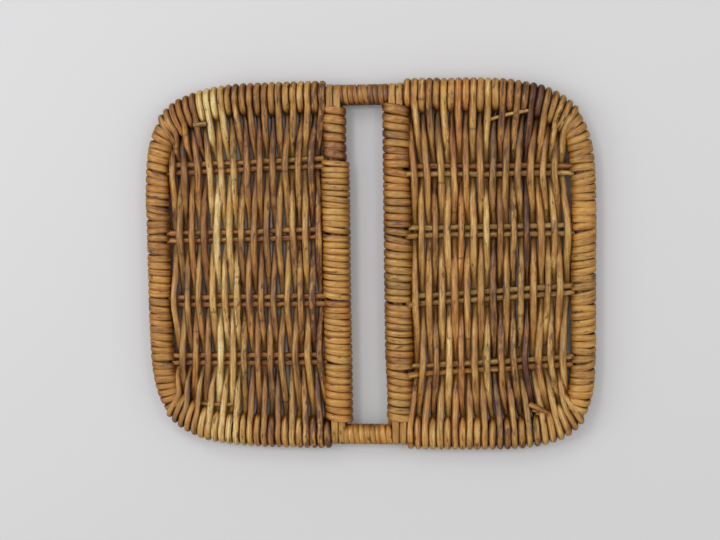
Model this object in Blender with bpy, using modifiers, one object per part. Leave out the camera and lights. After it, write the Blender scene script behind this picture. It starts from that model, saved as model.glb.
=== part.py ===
"""The slotted wicker lid of a lidded basket, lying flat with its outer face up.

One rod is bent round into a rounded rectangle. Two straight stiles cross it and leave a slot between them,
which the basket's hoop handle passes through. Pairs of thin stakes run from the sides to the stiles. Weavers
run up and down each panel, in front of one pair and behind the next, and turn one and a half times round the
rim at each end. Flat strips of cane are wound over the sides, the stiles and the two bridges of the slot, and
straps tie the stiles on.
"""

import math

import bmesh
import bpy
from mathutils import Vector

# All sizes are in metres. The frame rod's centreline is a superellipse.
FRAME_HALF_LENGTH = 0.1665
FRAME_HALF_DEPTH = 0.133
FRAME_SQUARENESS = 6
ROD_RADIUS = 0.00665
ROD_END_GAP = 0.0004

# The gap that is left wherever one piece rests on another.
CLEARANCE = 0.0003

# The stiles stand on either side of the slot.
STILE_OFFSET = 0.0241
COPE_OVERRUN = 0.004

# The stakes lie in pairs, listed from the back. In the middle of its panel a pair is at the level share of
# the frame's half depth, and towards the side it rises by the rise share of the way.
STAKE_RADIUS = 0.0021
STAKE_PAIR_SPACING = 0.0059
LEFT_STAKE_LEVEL_SHARES = (0.6, 0.19, -0.2, -0.55)
LEFT_STAKE_RISE_SHARES = (-0.03, -0.02, -0.005, -0.005)
RIGHT_STAKE_LEVEL_SHARES = (0.555, 0.205, -0.17, -0.585)
RIGHT_STAKE_RISE_SHARES = (-0.008, 0.005, 0.065, 0.065)

# The weavers.
WEAVER_RADIUS = 0.0021
WEAVER_LEAST_GAP = 0.0004
WEAVERS_IN_A_PANEL = 5
WEAVER_TIP_SHARE = 0.78
WEAVER_TAIL = 0.006
RIM_CORNER_SHARE = 0.88
MOVE_OVER_SHARE = 0.8
CORNER_DRAW_IN = 0.006
RIM_TURN_STEP = math.radians(60)

# The wound strips of cane, each flat inside and crowned outside.
WRAP_LEAST_GAP = 0.00045
WRAP_FACETS = 8
WRAP_CROWN_SHARE = 0.72
STILE_STRIP_WIDTH = 0.0098
STILE_STRIP_THICKNESS = 0.0045
SIDE_STRIP_WIDTH = 0.0086
SIDE_STRIP_THICKNESS = 0.0029
SIDE_WRAP_SHARE = 0.73
BRIDGE_STRIP_WIDTH = 0.0032
BRIDGE_STRIP_THICKNESS = 0.0012

# The straps that tie each end of a stile to the frame rod, two side by side.
STRAP_WIDTH = 0.0052
STRAP_THICKNESS = 0.0012
STRAP_GAP = 0.0006
STRAP_FACETS = 10

FRAME_FACETS = 84
PATH_SAMPLES = 1440
STILE_FACETS = 16
STAKE_FACETS = 8
FRAME_BEVEL_RESOLUTION = 2
WEAVER_BEVEL_RESOLUTION = 1

# What the sizes above give.
WRAP_HALF_STEP = math.pi / WRAP_FACETS
STILE_WRAP_FLAT = ROD_RADIUS + CLEARANCE + STILE_STRIP_THICKNESS
STILE_WRAP_CORNER = STILE_WRAP_FLAT / math.cos(WRAP_HALF_STEP)
SIDE_WRAP_FLAT = ROD_RADIUS + CLEARANCE + SIDE_STRIP_THICKNESS
BRIDGE_WRAP_CORNER = (ROD_RADIUS + CLEARANCE + BRIDGE_STRIP_THICKNESS) / math.cos(WRAP_HALF_STEP)
STILE_WRAP_LENGTH = 2 * (FRAME_HALF_DEPTH - BRIDGE_WRAP_CORNER - CLEARANCE)
MID_HEIGHT = STILE_WRAP_FLAT
RIM_TURN_RADIUS = (ROD_RADIUS + CLEARANCE) / math.cos(RIM_TURN_STEP / 2) + WEAVER_RADIUS
INNERMOST_PASS = STILE_OFFSET + STILE_WRAP_CORNER + CLEARANCE + WEAVER_RADIUS
SIDE_WRAP_CORNER = SIDE_WRAP_FLAT / math.cos(WRAP_HALF_STEP)
SIDE_TO_OUTERMOST_PASS = SIDE_WRAP_CORNER + CLEARANCE + WEAVER_RADIUS
PANEL_MIDDLE = (STILE_OFFSET + FRAME_HALF_LENGTH) / 2

SIDES = {"left": -1, "right": 1}
ENDS = {"back": 1, "front": -1}
WEAVING_STARTS = {"left": -1, "right": 1}
QUARTER_TURN = math.pi / 2


def linear(channel):
    """An sRGB channel from 0 to 255 as linear light."""
    value = channel / 255
    return value / 12.92 if value <= 0.04045 else ((value + 0.055) / 1.055) ** 2.4


def make_material(name, red, green, blue, roughness):
    material = bpy.data.materials.new(name)
    material.use_nodes = True
    shader = material.node_tree.nodes["Principled BSDF"]
    shader.inputs["Base Color"].default_value = (linear(red), linear(green), linear(blue), 1)
    shader.inputs["Roughness"].default_value = roughness
    shader.inputs["Metallic"].default_value = 0
    return material


def empty_scene():
    for obj in list(bpy.data.objects):
        bpy.data.objects.remove(obj)


def make_collection(name):
    collection = bpy.data.collections.new(name)
    bpy.context.scene.collection.children.link(collection)
    return collection


def add_object(name, data, collection, material=None):
    obj = bpy.data.objects.new(name, data)
    collection.objects.link(obj)
    if material:
        data.materials.append(material)
    return obj


def add_helper(name, data, collection):
    """A cutter or a guide, which isn't part of the lid."""
    obj = add_object(name, data, collection)
    obj.hide_render = True
    obj.display_type = "WIRE"
    return obj


def make_cylinder(name, radius, length, facets):
    """The mesh of a cylinder along its own Z axis."""
    mesh = bpy.data.meshes.new(name)
    shape = bmesh.new()
    bmesh.ops.create_cone(
        shape, cap_ends=True, segments=facets, radius1=radius, radius2=radius, depth=length
    )
    shape.to_mesh(mesh)
    shape.free()
    return mesh


def make_wire(name, points, radius, resolution, tip_share=1):
    """A round rod or strand along points, as a curve with filled caps. It tapers evenly to its tip."""
    curve = bpy.data.curves.new(name, "CURVE")
    curve.dimensions = "3D"
    curve.bevel_depth = radius
    curve.bevel_resolution = resolution
    curve.use_fill_caps = True
    spline = curve.splines.new("POLY")
    spline.points.add(len(points) - 1)
    for i, point in enumerate(points):
        spline.points[i].co = (*point, 1)
        spline.points[i].radius = 1 - (1 - tip_share) * i / (len(points) - 1)
    return curve


def frame_point(angle):
    """A point of the frame rod's centreline, at the lid's mid height, in a direction from its middle."""
    power = FRAME_SQUARENESS
    cosine = abs(math.cos(angle)) / FRAME_HALF_LENGTH
    sine = abs(math.sin(angle)) / FRAME_HALF_DEPTH
    reach = (cosine**power + sine**power) ** (-1 / power)
    return Vector((reach * math.cos(angle), reach * math.sin(angle), MID_HEIGHT))


def frame_x(y):
    """How far from the middle the frame rod's centreline is at this y."""
    return FRAME_HALF_LENGTH * (1 - abs(y / FRAME_HALF_DEPTH) ** FRAME_SQUARENESS) ** (1 / FRAME_SQUARENESS)


def frame_normal(point):
    """The direction out of the frame at a point of its centreline, in the lid's plane."""
    power = FRAME_SQUARENESS - 1
    return Vector(
        (
            math.copysign(abs(point.x / FRAME_HALF_LENGTH) ** power / FRAME_HALF_LENGTH, point.x),
            math.copysign(abs(point.y / FRAME_HALF_DEPTH) ** power / FRAME_HALF_DEPTH, point.y),
            0,
        )
    ).normalized()


def add_frame_rod(collection, material):
    """One rod, bent all the way round. Its ends meet under the wrapping of the left side."""
    half_gap = ROD_END_GAP / 2
    first_y = Vector((-frame_x(half_gap), half_gap, MID_HEIGHT))
    last_y = Vector((-frame_x(half_gap), -half_gap, MID_HEIGHT))
    step = 2 * math.pi / FRAME_FACETS
    round_points = [frame_point(math.pi - i * step) for i in range(1, FRAME_FACETS)]
    curve = make_wire("frame_rod", [first_y, *round_points, last_y], ROD_RADIUS, FRAME_BEVEL_RESOLUTION)
    add_object("frame_rod", curve, collection, material)


def add_copers(cutters):
    """Two cylinders that cope the stiles' ends to the frame rod."""
    radius = (ROD_RADIUS + CLEARANCE) / math.cos(math.pi / STILE_FACETS)
    length = 2 * (STILE_OFFSET + ROD_RADIUS + COPE_OVERRUN)
    copers = []
    for end, sign in ENDS.items():
        mesh = make_cylinder(f"{end}_coper", radius, length, STILE_FACETS)
        coper = add_helper(f"{end}_coper", mesh, cutters)
        coper.location = (0, sign * FRAME_HALF_DEPTH, MID_HEIGHT)
        coper.rotation_euler = (0, QUARTER_TURN, 0)
        copers.append(coper)
    return copers


def add_stiles(collection, cutters, material):
    copers = add_copers(cutters)
    for side, sign in SIDES.items():
        name = f"{side}_stile"
        mesh = make_cylinder(name, ROD_RADIUS, 2 * FRAME_HALF_DEPTH, STILE_FACETS)
        mesh.shade_smooth()
        stile = add_object(name, mesh, collection, material)
        stile.location = (sign * STILE_OFFSET, 0, MID_HEIGHT)
        stile.rotation_euler = (QUARTER_TURN, 0, 0)
        for coper in copers:
            cut = stile.modifiers.new(coper.name, "BOOLEAN")
            cut.operation = "DIFFERENCE"
            cut.object = coper


def stake_pairs(side):
    """The level of each pair of stakes in the middle of the panel, and its rise towards the side."""
    if side == "left":
        shares = zip(LEFT_STAKE_LEVEL_SHARES, LEFT_STAKE_RISE_SHARES)
    else:
        shares = zip(RIGHT_STAKE_LEVEL_SHARES, RIGHT_STAKE_RISE_SHARES)
    return [(level * FRAME_HALF_DEPTH, rise) for level, rise in shares]


def pair_y(pair, x):
    """Where a pair of stakes is at a distance from the lid's middle."""
    level, rise = pair
    return level + rise * (x - PANEL_MIDDLE)


def add_stakes(collection, material):
    """Each stake runs from the wrapping of the side to the wrapping of the stile."""
    inner = STILE_OFFSET + STILE_WRAP_CORNER + CLEARANCE
    for side, sign in SIDES.items():
        for number, pair in enumerate(stake_pairs(side), 1):
            for place, offset in (("back", STAKE_PAIR_SPACING / 2), ("front", -STAKE_PAIR_SPACING / 2)):
                far_y = pair_y(pair, FRAME_HALF_LENGTH) + offset
                nearest_side = min(frame_x(far_y - STAKE_RADIUS), frame_x(far_y + STAKE_RADIUS))
                outer = nearest_side - SIDE_WRAP_CORNER - CLEARANCE
                middle = (inner + outer) / 2
                tilt = math.atan(pair[1])
                length = (outer - inner) / math.cos(tilt) - 2 * STAKE_RADIUS * abs(math.tan(tilt))
                name = f"{side}_stake_{number}_{place}"
                mesh = make_cylinder(name, STAKE_RADIUS, length, STAKE_FACETS)
                mesh.shade_smooth()
                stake = add_object(name, mesh, collection, material)
                stake.location = (sign * middle, pair_y(pair, middle) + offset, MID_HEIGHT)
                stake.rotation_euler = (0, QUARTER_TURN, sign * tilt)


class Rim:
    """Stations along a quarter of the rim, from the stile to the corner, even where the weavers turn in."""

    def __init__(self):
        step = QUARTER_TURN / PATH_SAMPLES
        self.points = []
        self.lengths = []
        self.corner_length = 0
        total = 0
        before = None
        for i in range(PATH_SAMPLES):
            point = frame_point(QUARTER_TURN - i * step)
            if point.x < INNERMOST_PASS:
                continue
            inside = point - RIM_TURN_RADIUS * frame_normal(point)
            total += (inside - before).length if before else 0
            before = inside
            self.points.append(point)
            self.lengths.append(total)
            if point.y > RIM_CORNER_SHARE * FRAME_HALF_DEPTH:
                self.corner_length = total
        self.passes = 1 + int(self.corner_length // (2 * WEAVER_RADIUS + WEAVER_LEAST_GAP))
        self.spacing = self.corner_length / (self.passes - 1)

    def station(self, place):
        """The centreline point and its outward normal at a place, counted in passes from the stile."""
        length = place * self.spacing
        if length <= 0:
            point = self.points[0] + Vector((length, 0, 0))
            return point, frame_normal(point)
        i = next(k for k, reached in enumerate(self.lengths) if reached >= length)
        part = (length - self.lengths[i - 1]) / (self.lengths[i] - self.lengths[i - 1])
        point = self.points[i - 1].lerp(self.points[i], part)
        return point, frame_normal(point)

    def entry(self, place, angle, side, rim_end):
        """A point on a turn at a place. Angle 0 is out of the lid, and a quarter turn is the rod's top."""
        centre, normal = self.station(place)
        offset = RIM_TURN_RADIUS * math.cos(angle)
        return Vector(
            (
                side * (centre.x + offset * normal.x),
                rim_end * (centre.y + offset * normal.y),
                MID_HEIGHT + RIM_TURN_RADIUS * math.sin(angle),
            )
        )

    def turn(self, place, start, end, side, rim_end):
        """Points round the rim rod from one angle to another, one place further along after a whole turn."""
        angles = [start - i * RIM_TURN_STEP for i in range(round((start - end) / RIM_TURN_STEP) + 1)]
        return [
            self.entry(place + (QUARTER_TURN - angle) / (2 * math.pi), angle, side, rim_end)
            for angle in angles
        ]


def crossing_height():
    """How far a weaver passes above or below the stakes' middle, so that it clears both stakes of a pair."""
    pairs = stake_pairs("left") + stake_pairs("right")
    farthest = max(abs(pair_y(pair, x)) for pair in pairs for x in (STILE_OFFSET, FRAME_HALF_LENGTH))
    shortest_run = FRAME_HALF_DEPTH - farthest - RIM_TURN_RADIUS
    return (STAKE_RADIUS + CLEARANCE + WEAVER_RADIUS) / (1 - STAKE_PAIR_SPACING / shortest_run)


def crossings(rim, number, side, rim_end):
    """The points where a pass crosses the pairs of stakes, in the order in which the weaver meets them."""
    pairs = stake_pairs(side)
    outer_pairs = (pairs[0], pairs[-1])
    if rim_end == ENDS["back"]:
        pairs.reverse()
    share_out = number / (rim.passes - 1)
    points = []
    for i, pair in enumerate(pairs):
        draw_in = CORNER_DRAW_IN if pair in outer_pairs else 0
        outermost = frame_x(pair[0]) - SIDE_TO_OUTERMOST_PASS - draw_in
        x = INNERMOST_PASS + share_out * (outermost - INNERMOST_PASS)
        above = 1 if i % 2 == 0 else -1
        points.append(Vector((SIDES[side] * x, pair_y(pair, x), MID_HEIGHT + above * crossing_height())))
    return points


def weave(rim, side):
    """The whole route of a panel's weaving as strands, one for each weaver."""
    sign = SIDES[side]
    start = WEAVING_STARTS[side]
    top = QUARTER_TURN + RIM_TURN_STEP / 2
    half_turn = -top
    turn_and_half = half_turn - 2 * math.pi
    strands = [rim.turn(0, top, half_turn, sign, start)]
    cuts = {round(k * rim.passes / WEAVERS_IN_A_PANEL) for k in range(1, WEAVERS_IN_A_PANEL)}
    for number in range(rim.passes):
        rim_end = -start if number % 2 == 0 else start
        crossed = crossings(rim, number, side, rim_end)
        # The weaver moves over to its own pass while it is still under the panel, near the rim.
        strands[-1].append(crossed[0].lerp(rim.entry(number, half_turn, sign, -rim_end), MOVE_OVER_SHARE))
        strands[-1] += crossed[:2]
        if number in cuts:
            along = (crossed[2] - crossed[1]).normalized()
            strands[-1].append(crossed[1] + WEAVER_TAIL * along)
            strands.append([crossed[1] + (WEAVER_TAIL + 2 * CLEARANCE) * along])
        strands[-1] += crossed[2:]
        last = number == rim.passes - 1
        strands[-1] += rim.turn(number, top, half_turn if last else turn_and_half, sign, rim_end)
    return strands


def add_weavers(collection, materials):
    rim = Rim()
    for side in SIDES:
        for number, points in enumerate(weave(rim, side), 1):
            name = f"{side}_weaver_{number}"
            curve = make_wire(name, points, WEAVER_RADIUS, WEAVER_BEVEL_RESOLUTION, WEAVER_TIP_SHARE)
            add_object(name, curve, collection, materials[number % len(materials)])
    print(f"Each panel has {rim.passes} passes, {rim.spacing * 1000:.2f} mm apart at the rim")


def add_wrap(name, length, width, thickness, collection, material):
    """A strip wound round a rod in one unbroken helix, along the object's own Z axis from its origin."""
    loops = int((length - width) // (width + WRAP_LEAST_GAP))
    pitch = (length - width) / loops
    bore = ROD_RADIUS + CLEARANCE
    inner = bore / math.cos(WRAP_HALF_STEP)
    outer = (bore + thickness) / math.cos(WRAP_HALF_STEP)
    crown = WRAP_CROWN_SHARE * width
    middle = width / 2
    section = ((inner, -width / 2), (outer, -crown / 2), (outer, crown / 2), (inner, width / 2))
    shape = bmesh.new()
    corners = [
        shape.verts.new((r * math.cos(WRAP_HALF_STEP), r * math.sin(WRAP_HALF_STEP), middle + z))
        for r, z in section
    ]
    end_face = shape.faces.new(corners)
    bmesh.ops.spin(
        shape,
        geom=[*corners, *end_face.edges, end_face],
        cent=(0, 0, 0),
        axis=(0, 0, 1),
        dvec=(0, 0, pitch / WRAP_FACETS),
        angle=2 * math.pi * loops,
        steps=WRAP_FACETS * loops,
    )
    bmesh.ops.recalc_face_normals(shape, faces=shape.faces)
    mesh = bpy.data.meshes.new(name)
    shape.to_mesh(mesh)
    shape.free()
    print(f"{name}: {loops} loops, least gap to itself {least_gap(mesh, width) * 1000:.2f} mm")
    return add_object(name, mesh, collection, material)


def least_gap(mesh, width):
    """The least distance between one turn of a wrap and the next, on the points along its inner edges."""
    heights = {}
    for vertex in mesh.vertices:
        angle = round(math.degrees(math.atan2(vertex.co.y, vertex.co.x)))
        heights.setdefault(angle, []).append(vertex.co.z)
    least = math.inf
    for column in heights.values():
        column.sort()
        # Each turn leaves four points in a column, and its last is the next turn's neighbour.
        least = min([least, *(b - a for a, b in zip(column[3::4], column[4::4]))])
    return least


def add_stile_wraps(collection, material):
    for side, sign in SIDES.items():
        wrap = add_wrap(
            f"{side}_stile_wrap",
            STILE_WRAP_LENGTH,
            STILE_STRIP_WIDTH,
            STILE_STRIP_THICKNESS,
            collection,
            material,
        )
        wrap.location = (sign * STILE_OFFSET, STILE_WRAP_LENGTH / 2, MID_HEIGHT)
        wrap.rotation_euler = (QUARTER_TURN, 0, 0)


def side_path(sign):
    """Points along the frame rod's centreline beside a panel, and their length."""
    end = SIDE_WRAP_SHARE * FRAME_HALF_DEPTH
    step = 2 * end / PATH_SAMPLES
    points = []
    for i in range(PATH_SAMPLES + 1):
        y = end - i * step
        points.append(Vector((sign * frame_x(y), y, MID_HEIGHT)))
    return points, sum((b - a).length for a, b in zip(points, points[1:]))


def add_side_wraps(collection, guides, material):
    for side, sign in SIDES.items():
        points, length = side_path(sign)
        guide = add_helper(f"{side}_side_guide", make_wire(f"{side}_side_guide", points, 0, 0), guides)
        guide.data.use_fill_caps = False
        wrap = add_wrap(
            f"{side}_side_wrap", length, SIDE_STRIP_WIDTH, SIDE_STRIP_THICKNESS, collection, material
        )
        bend = wrap.modifiers.new("Follow the side", "CURVE")
        bend.object = guide
        bend.deform_axis = "POS_Z"


def add_bridge_wraps(collection, material):
    length = 2 * (STILE_OFFSET - ROD_RADIUS - CLEARANCE)
    for end, sign in ENDS.items():
        wrap = add_wrap(
            f"{end}_bridge_wrap", length, BRIDGE_STRIP_WIDTH, BRIDGE_STRIP_THICKNESS, collection, material
        )
        wrap.location = (-length / 2, sign * FRAME_HALF_DEPTH, MID_HEIGHT)
        wrap.rotation_euler = (0, QUARTER_TURN, 0)


def add_straps(collection, material):
    """Each strap runs over the frame rod from one face of the stile to the other, to the stile's wrapping."""
    radius = ROD_RADIUS + CLEARANCE + STRAP_THICKNESS / 2
    tail = BRIDGE_WRAP_CORNER
    arc_step = math.pi / STRAP_FACETS
    arc = [
        (radius * math.cos(QUARTER_TURN - i * arc_step), radius * math.sin(QUARTER_TURN - i * arc_step))
        for i in range(STRAP_FACETS + 1)
    ]
    outline = [(-tail, radius), *arc, (-tail, -radius)]
    for side, side_sign in SIDES.items():
        for end, end_sign in ENDS.items():
            for place, offset_sign in (("outer", 1), ("inner", -1)):
                name = f"{side}_{end}_strap_{place}"
                curve = bpy.data.curves.new(name, "CURVE")
                curve.dimensions = "2D"
                curve.fill_mode = "NONE"
                curve.extrude = STRAP_WIDTH / 2
                spline = curve.splines.new("POLY")
                spline.points.add(len(outline) - 1)
                for spline_point, (x, y) in zip(spline.points, outline):
                    spline_point.co = (x, y, 0, 1)
                strap = add_object(name, curve, collection, material)
                offset = side_sign * offset_sign * (STRAP_WIDTH + STRAP_GAP) / 2
                strap.location = (side_sign * STILE_OFFSET + offset, end_sign * FRAME_HALF_DEPTH, MID_HEIGHT)
                strap.rotation_euler = (QUARTER_TURN, 0, end_sign * QUARTER_TURN)
                walls = strap.modifiers.new("Thickness", "SOLIDIFY")
                walls.thickness = STRAP_THICKNESS
                walls.offset = 0


def build_lid():
    empty_scene()
    lid = make_collection("slotted_basket_lid")
    helpers = make_collection("cutters_and_guides")
    rod_finish = make_material("rod", 148, 124, 78, 0.55)
    stake_finish = make_material("stake", 156, 100, 52, 0.5)
    wrap_finish = make_material("wound_strip", 196, 144, 82, 0.42)
    bridge_finish = make_material("narrow_strip", 190, 132, 72, 0.45)
    weaver_finishes = [
        make_material("tan_weaver", 178, 132, 74, 0.45),
        make_material("pale_weaver", 205, 176, 112, 0.45),
        make_material("brown_weaver", 142, 96, 52, 0.5),
    ]
    add_frame_rod(lid, rod_finish)
    add_stiles(lid, helpers, rod_finish)
    add_stakes(lid, stake_finish)
    add_weavers(lid, weaver_finishes)
    add_stile_wraps(lid, wrap_finish)
    add_side_wraps(lid, helpers, wrap_finish)
    add_bridge_wraps(lid, bridge_finish)
    add_straps(lid, bridge_finish)


build_lid()
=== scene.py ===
# %% [markdown]
# The object is the lid of a wicker basket: a rod frame, filled with willow rods woven in one flat layer,
# with a long slot in the middle for the basket's hoop handle. Everything that shows is a rod, or a split
# strip of one, that follows a path. So this lesson builds one Geometry Nodes tree that lays a rod along a
# path, works out the path of each piece with a little arithmetic, and spends its time on what makes willow
# look like willow.

# %% Load the frame
import math

import bpy
import numpy as np
from mathutils import Matrix, Vector


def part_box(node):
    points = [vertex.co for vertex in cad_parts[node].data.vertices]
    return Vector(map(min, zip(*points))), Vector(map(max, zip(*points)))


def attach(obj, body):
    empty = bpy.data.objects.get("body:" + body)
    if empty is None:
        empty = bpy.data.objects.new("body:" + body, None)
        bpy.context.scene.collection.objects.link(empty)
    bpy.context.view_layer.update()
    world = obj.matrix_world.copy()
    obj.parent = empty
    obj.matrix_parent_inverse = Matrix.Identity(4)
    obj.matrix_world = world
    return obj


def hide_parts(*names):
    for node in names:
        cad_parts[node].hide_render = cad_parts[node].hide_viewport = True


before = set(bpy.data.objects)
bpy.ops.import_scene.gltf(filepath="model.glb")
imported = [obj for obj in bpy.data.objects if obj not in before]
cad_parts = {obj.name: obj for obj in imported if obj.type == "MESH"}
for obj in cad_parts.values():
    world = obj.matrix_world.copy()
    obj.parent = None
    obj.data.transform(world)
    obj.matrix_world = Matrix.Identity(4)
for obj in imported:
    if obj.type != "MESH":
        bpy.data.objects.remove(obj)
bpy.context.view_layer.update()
print("The frame holds", len(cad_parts), "nodes")

# %% [markdown]
# The sizes are read from the frame, so that each piece lands where the real one sits. The frame rod's
# centreline is a superellipse, a rounded rectangle whose sides bow out a little. Its box gives how long and
# how deep it is, and its thickness gives the rod's radius.

# %% Read the sizes
MM = 0.001
SIDES = {"left": -1, "right": 1}
ENDS = {"back": 1, "front": -1}
QUARTER_TURN = math.pi / 2

rod_low, rod_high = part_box("frame_rod")
ROD_RADIUS = (rod_high[2] - rod_low[2]) / 2
MID_HEIGHT = (rod_high[2] + rod_low[2]) / 2
HALF_LENGTH = (rod_high[0] - rod_low[0]) / 2 - ROD_RADIUS
HALF_DEPTH = (rod_high[1] - rod_low[1]) / 2 - ROD_RADIUS
SQUARENESS = 6
FRONT_RIGHT_SQUARENESS = 7.5

stile_low, stile_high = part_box("right_stile_wrap")
STILE_OFFSET = (stile_low[0] + stile_high[0]) / 2
STILE_WRAP_RADIUS = (stile_high[2] - stile_low[2]) / 2
STILE_WRAP_END = stile_high[1]
SIDE_WRAP_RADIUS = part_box("right_side_wrap")[1][0] - HALF_LENGTH
STRAP_OUTER_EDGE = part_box("right_back_strap_outer")[1][0]
stake_low, stake_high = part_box("right_stake_2_back")
STAKE_RADIUS = (stake_high[2] - stake_low[2]) / 2


def stake_y(side, number, place):
    """The middle of a stake, counted from the back."""
    low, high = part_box(f"{side}_stake_{number}_{place}")
    return (low[1] + high[1]) / 2


print(f"Frame {HALF_LENGTH:.4f} by {HALF_DEPTH:.4f} m, rod radius {ROD_RADIUS:.4f} m")


# %% [markdown]
# A point of the frame's centreline is found from its direction. Beside it the lesson needs the direction
# out of the frame, because the weavers turn round the rod square to it. The rod was bent by hand, and its
# front right corner is squarer than the others.

# %% The frame's centreline
def corner_squareness(x, y):
    return FRONT_RIGHT_SQUARENESS if x > 0 and y < 0 else SQUARENESS


def frame_point(angle, squareness=SQUARENESS):
    cosine = abs(math.cos(angle)) / HALF_LENGTH
    sine = abs(math.sin(angle)) / HALF_DEPTH
    reach = (cosine**squareness + sine**squareness) ** (-1 / squareness)
    return np.array([reach * math.cos(angle), reach * math.sin(angle), MID_HEIGHT])


def frame_normal(point, squareness=SQUARENESS):
    power = squareness - 1
    x = math.copysign(abs(point[0] / HALF_LENGTH) ** power / HALF_LENGTH, point[0])
    y = math.copysign(abs(point[1] / HALF_DEPTH) ** power / HALF_DEPTH, point[1])
    length = math.hypot(x, y)
    return np.array([x / length, y / length, 0])


def frame_x(y, squareness=SQUARENESS):
    """How far from the middle the centreline is at this y."""
    return HALF_LENGTH * (1 - abs(y / HALF_DEPTH) ** squareness) ** (1 / squareness)


# %% [markdown]
# Colours are written as sRGB hex values, as a colour picker gives them, and one function turns them to the
# linear values that the shader works in. One more function adds a node with its settings and links.

# %% Helpers for colours and nodes
SMOOTH_STEP = {"interpolation_type": "SMOOTHSTEP"}
COLOURS = {"data_type": "RGBA"}
FOUR_DIMENSIONS = {"noise_dimensions": "4D"}
VECTORS = {"data_type": "FLOAT_VECTOR", "domain": "POINT"}


def linear(hex_colour):
    """An sRGB hex colour as linear light, with alpha."""
    channels = [int(hex_colour[i : i + 2], 16) / 255 for i in (1, 3, 5)]
    return [c / 12.92 if c <= 0.04045 else ((c + 0.055) / 1.055) ** 2.4 for c in channels] + [1]


def add(tree, kind, settings=None, **inputs):
    """Add a node. Its settings are a dict, or just an operation's name. Its inputs are named in lower case,
    or by number after n, and each takes a value, a socket, or a node whose first output is meant."""
    node = tree.nodes.new(kind)
    if isinstance(settings, str):
        settings = {"operation": settings}
    for name, value in (settings or {}).items():
        setattr(node, name, value)
    for name, value in inputs.items():
        if name[0] == "n" and name[1:].isdigit():
            socket = node.inputs[int(name[1:])]
        else:
            socket = next(s for s in node.inputs if s.enabled and s.name.lower().replace(" ", "_") == name)
        if isinstance(value, bpy.types.Node):
            value = value.outputs[0]
        if isinstance(value, bpy.types.NodeSocket):
            tree.links.new(value, socket)
        else:
            socket.default_value = value
    return node


# %% [markdown]
# The rods are willow: boiled with the bark on and peeled or half peeled, so they range from straw through
# honey and tan to the dark purple-brown of bark that stayed on. Willow shows long fine grain, mottled
# patches, small dark flecks, a ring at some buds, and a soft waxy gloss. All of it follows the rod, so the
# patterns read attributes that the path tree leaves on the surface, in metres: "along" is the distance
# along the rod, and "across" is the place in its section. Three more say what that rod is like: "tone" runs
# from dark to pale, "hue" from olive to red, and "bark" from clean to blotched.
#
# Each pattern is a noise stretched along the rod, and its width and length are given in millimetres. The
# finest grain is under 0.3 mm on a real rod, which no pixel would show here, so it is drawn 1.1 mm wide,
# and the flecks 1.3 mm. An edge is the pair of pattern values between which a mark fades in, and a noise
# seldom leaves its reach.

# %% Materials: willow rods and split cane
PATTERN_MM = {
    "grain": (1.1, 15), "patches": (4.5, 17), "flecks": (1.3, 2.8), "blotches": (3, 9), "warmth": (6, 40),
}
SWINGS = {"patches": 0.8, "grain": 1.0, "warmth": 1.6}
FLECK_EDGE = (0.58, 0.68)
BLOTCH_EDGE = (0.62, 0.7)
BLOTCH_COVER = 0.8
BARK_WEIGHT = 0.25
RING_SPACING_MM = 410
RING_HALF_WIDTH_MM = 1.5
RING_CORE_SHARE = 0.2
BARK_COLOUR = "#46220c"
# The painted shade on the rods' flanks and the painted light on their faces.
FACING_EDGE = (0.2, 0.95)
FLANK_PAINTED_SHADE = 0.24
FACE_PAINTED_LIGHT = 0.04
ROUGHNESS_SWING = (-0.1, 0.12)
NOISE_REACH = (0.3, 0.7)
RELIEF_DEPTH_MM = 0.45
RELIEF_STRENGTH = 0.7
WOOD_IOR = 1.5
WAX_ROUGHNESS = 0.16


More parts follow.
